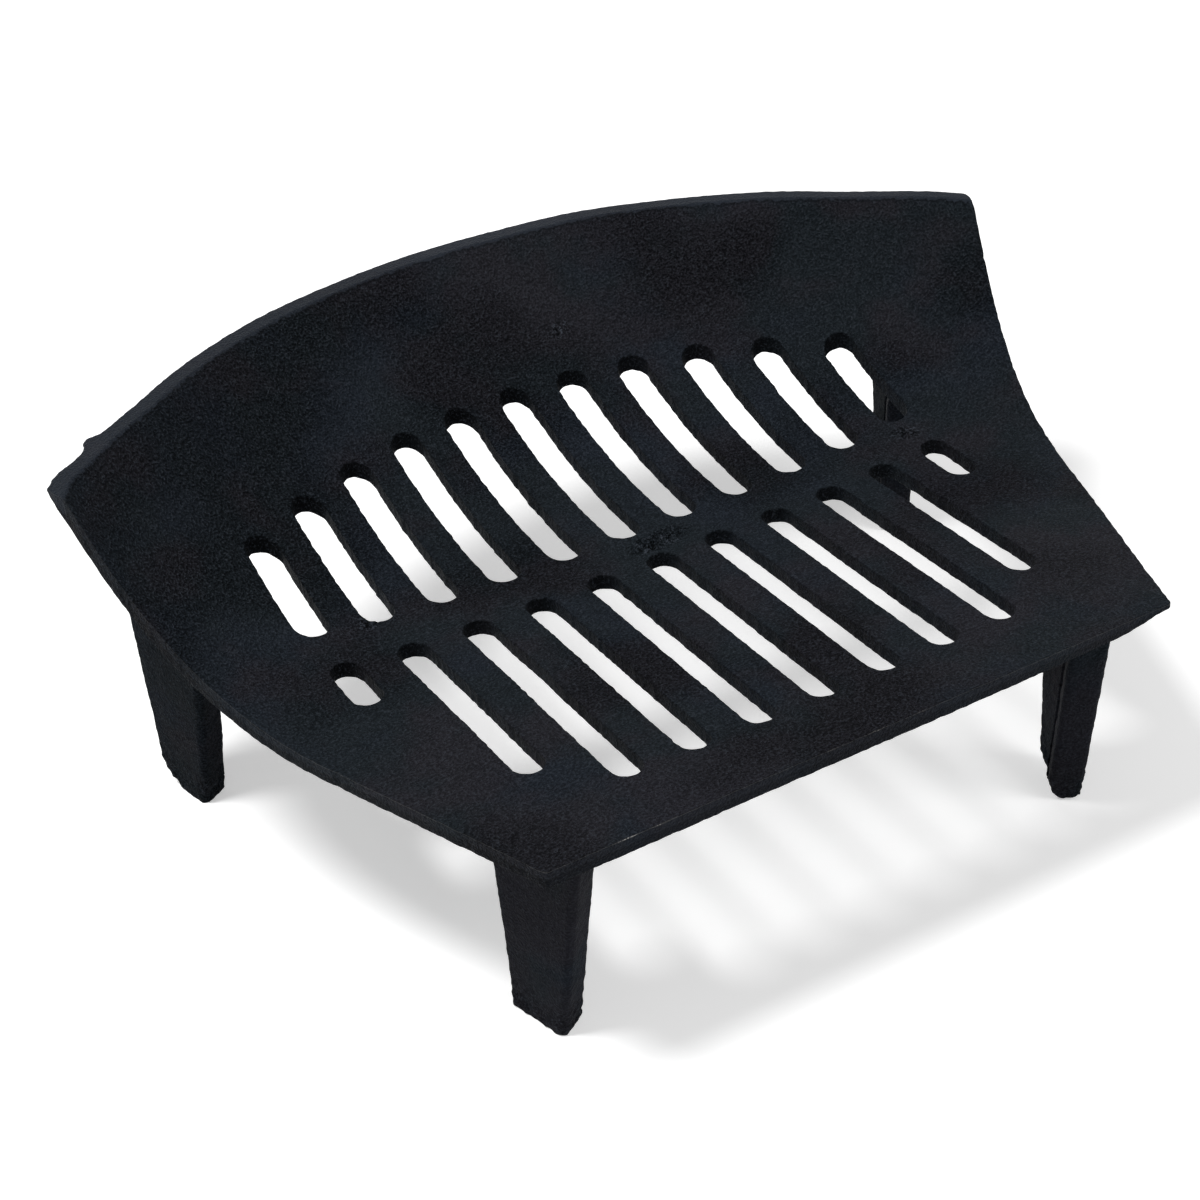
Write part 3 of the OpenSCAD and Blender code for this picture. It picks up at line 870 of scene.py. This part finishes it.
def paintedIron(name, warmAndSheenShare, wearAndGlint, sanding, gloss):
    finish = Finish(bpy.data.materials.new(name))
    size = blackPaint["sizes"]
    (hollowShade, moreHollowShade), (lightShare, moreLight) = blackPaint["hollows"], blackPaint["tops"]
    place = finish.add("ShaderNodeTexCoord", None, None, "Object")
    mm = finish.add("ShaderNodeVectorMath", {"operation": "SCALE"}, {0: place, "Scale": 1000})
    across, back = [finish.add("ShaderNodeSeparateXYZ", None, {0: mm}, axis) for axis in "XY"]
    arris, scar, slotShade, face = [finish.mark(mark) for mark in ("arris", "scar", "slotShade", "edgeFace")]
    # painted shade: a dark line just inside the rim's flat, kept off the arrises
    rimLineShade = face.above(0.08, 0.30) * (1 - face.above(0.50, 0.75)) * (1 - arris.above(0.02, 0.10))
    frayed = (finish.noise(mm, size["fray"], 3) - 0.5) * 0.5
    edge = face + (face + frayed).above(0.58, 0.88) * (1 - face)    # the rim's flat has an uneven inner line

    # parts of the plate with a warmer tone, a painted sheen or a coarser grain: the lighter band across the
    # middle of the dish is painted sheen, and the tone also lightens and warms towards the back edge
    foreground = back.above(-30, 130)
    # painted sheen: a lighter band across the middle of the dish
    dishSheen = (1 - back.above(-105, -55)) * (1 - across.above(-20, 110))
    wing = across.above(-70, 120) * (1 - back.above(-30, 70))
    warmAndSheen = (finish.noise(mm, size["warmAndSheen"], 3) + foreground * 0.13 + dishSheen * 0.15 - 0.04).above(0.44, 0.66)
    coarse = (finish.noise(mm, size["coarse"], 1) + wing * 0.22 - 0.04).above(0.40, 0.66)

    sand = finish.noise(mm, size["sand"], 2, 0.6)
    height = grainHeight(finish, mm, sand, coarse, edge, scar) * sanding
    bump = finish.add("ShaderNodeBump", None, {"Height": height, "Distance": 0.001, "Strength": 1.0})

    regions = finish.noise(mm, size["regions"], 2).above(0.42, 0.62)
    cloud = finish.noise(mm, size["cloud"], 4)
    crumbs = finish.noise(mm, size["crumbs"], 3, 0.7)
    grainShading = (1 - edge * 0.7) * sanding
    broken = finish.noise(mm, size["broken"], 3, 0.6).above(0.44, 0.60)
    broken = broken * finish.noise(mm, size["specks"], 2).above(0.42, 0.58)
    # bare iron at the rubbed places, and a faint painted highlight line along every arris
    wearAndArrisGlint = (arris.above(0.76, 0.92) * broken + arris.above(0.50, 0.72) * 0.09) * wearAndGlint
    colour = finish.blend(regions, blackPaint["dark"], blackPaint["blue"])
    for share, layer in (
        # warmer, lighter patches, with the dish's painted sheen among them
        (warmAndSheen * warmAndSheenShare, "brown"),
        # painted sheen on the rim's flat and the edge faces
        (edge * (0.5 + cloud * 0.6), "edge"),
        # painted shade in the slots, deepest on the walls that face backward
        (slotShade * 0.8, "nearBlack"),
        (rimLineShade * 0.6, "nearBlack"),            # painted shade along the rim's inner line
        # painted shade in the hollows between the sand grains
        ((1 - sand.above(0.38, 0.54)) * (hollowShade + coarse * moreHollowShade) * grainShading, "nearBlack"),
        # painted highlights on the tops of the sand grains
        (sand.above(0.54, 0.68) * (lightShare + coarse * moreLight) * grainShading, "light"),
        ((1 - crumbs.above(0.41, 0.50)) * scar, "nearBlack"),
        (crumbs.above(0.54, 0.64) * scar * 0.9, "light"),
        # rubbed bare iron and the painted highlight line on the arrises
        (wearAndArrisGlint, "wearAndArrisGlint")
    ):
        colour = finish.blend(share, colour, blackPaint[layer])

    rough, edgeRough = blackPaint["roughness"], blackPaint["edgeRoughness"]
    shader = finish.add("ShaderNodeBsdfPrincipled", None, {
        "Base Color": colour,
        "Roughness": rough + (cloud - 0.5) * 0.18 - edge * (rough - edgeRough) - wearAndArrisGlint * 0.12,
        "Specular IOR Level": gloss,
        "Normal": bump
    })
    finish.add("ShaderNodeOutputMaterial", None, {"Surface": shader})
    return finish.owner


studio = {
    "floorColour": (0.90, 0.90, 0.90),
    "floorReach": 6.0,
    "glow": (0.42, 0.85),               # what the floor adds for the camera, near the grate and far off
    "glowRise": (0.7, 2.5),             # metres from the grate between which it rises
    "world": 0.26,
    "lamps": [                          # place, size, watts
        ((0.75, -0.1, 1.75), 0.5, 28),
        ((-1.0, 1.3, 1.3), 1.0, 11)
    ],
    "lampAim": (0, 0, 0.08)
}


def buildStudio():
    reach = studio["floorReach"]
    floorMesh = bpy.data.meshes.new("floor")
    corners = [(-reach, -reach, 0), (reach, -reach, 0), (reach, reach, 0), (-reach, reach, 0)]
    floorMesh.from_pydata(corners, [], [(0, 1, 2, 3)])
    floor = bpy.data.objects.new("floor", floorMesh)
    bpy.context.scene.collection.objects.link(floor)
    finish = Finish(bpy.data.materials.new("palePaper"))
    paper = finish.add("ShaderNodeBsdfDiffuse", None, {"Color": (*studio["floorColour"], 1)})
    place = finish.add("ShaderNodeTexCoord", None, None, "Object")
    distance = finish.add("ShaderNodeVectorMath", {"operation": "LENGTH"}, {0: place}, "Value")
    near, far = studio["glow"]
    strength = near + distance.above(*studio["glowRise"]) * (far - near)
    glow = finish.add("ShaderNodeEmission", None, {"Strength": finish.seen() * strength})
    both = finish.add("ShaderNodeAddShader", None, {0: paper, 1: glow})
    finish.add("ShaderNodeOutputMaterial", None, {"Surface": both})
    floorMesh.materials.append(finish.owner)

    bpy.context.scene.world = bpy.data.worlds.new("whiteRoom")
    finish = Finish(bpy.context.scene.world)
    strength = studio["world"] + finish.seen() * (1 - studio["world"])
    room = finish.add("ShaderNodeBackground", None, {"Color": (1, 1, 1, 1), "Strength": strength})
    finish.add("ShaderNodeOutputWorld", None, {"Surface": room})

    for i, (place, size, watts) in enumerate(studio["lamps"]):
        light = bpy.data.lights.new("softBox%d" % (i + 1), "AREA")
        light.shape = "DISK"
        light.size = size
        light.energy = watts
        lamp = bpy.data.objects.new(light.name, light)
        lamp.location = place
        lamp.rotation_euler = (Vector(studio["lampAim"]) - Vector(place)).to_track_quat("-Z", "Y").to_euler()
        bpy.context.scene.collection.objects.link(lamp)


# the photograph's camera, found from the slot rows, the edges and the feet
view = {
    "place": (0.36162, 0.61796, 0.57557),
    "right": (-0.85694, 0.51395, -0.03876),
    "up": (-0.32975, -0.4889, 0.80762),
    "back": (0.39612, 0.70486, 0.58843),
    "lens": 74.101,
    "sensor": 36,
    "clipStart": 0.05
}


def placeCamera():
    lens = bpy.data.cameras.new("behindGrate")
    lens.lens = view["lens"]
    lens.sensor_width = view["sensor"]
    lens.clip_start = view["clipStart"]
    camera = bpy.data.objects.new("behindGrate", lens)
    turned = Matrix((view["right"], view["up"], view["back"])).transposed().to_4x4()
    camera.matrix_world = Matrix.Translation(view["place"]) @ turned
    bpy.context.scene.collection.objects.link(camera)
    bpy.context.scene.camera = camera


placeCamera()
buildStudio()
print("camera, floor and lamps in place")

bed, lip = splitPlate()
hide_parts("bed")
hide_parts("lip")
print("bed and lip cast:", len(bed.data.vertices), len(lip.data.vertices), "vertices")

legs = [
    castLeg("backLegRight", "leg_back_right", front=False, mirror=False, seed=21.0),
    castLeg("backLegLeft", "leg_back_left", front=False, mirror=True, seed=33.0),
    castLeg("frontLegRight", "leg_front_right", front=True, mirror=False, seed=47.0),
    castLeg("frontLegLeft", "leg_front_left", front=True, mirror=True, seed=59.0)
]
print("legs cast:", [len(leg.data.vertices) for leg in legs], "vertices")

plateFinish = paintedIron("blackPaintedPlate", warmAndSheenShare=0.75, wearAndGlint=1.0, sanding=1.0, gloss=0.02)
legFinish = paintedIron("blackPaintedLegs", warmAndSheenShare=0.7, wearAndGlint=0.4, sanding=0.7, gloss=0.008)
for piece in (bed, lip):
    piece.data.materials.append(plateFinish)
for piece in legs:
    piece.data.materials.append(legFinish)
for piece in [bed, lip] + legs:
    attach(piece, "root")
print("finish on every piece")

bpy.context.scene.view_settings.view_transform = "Standard"
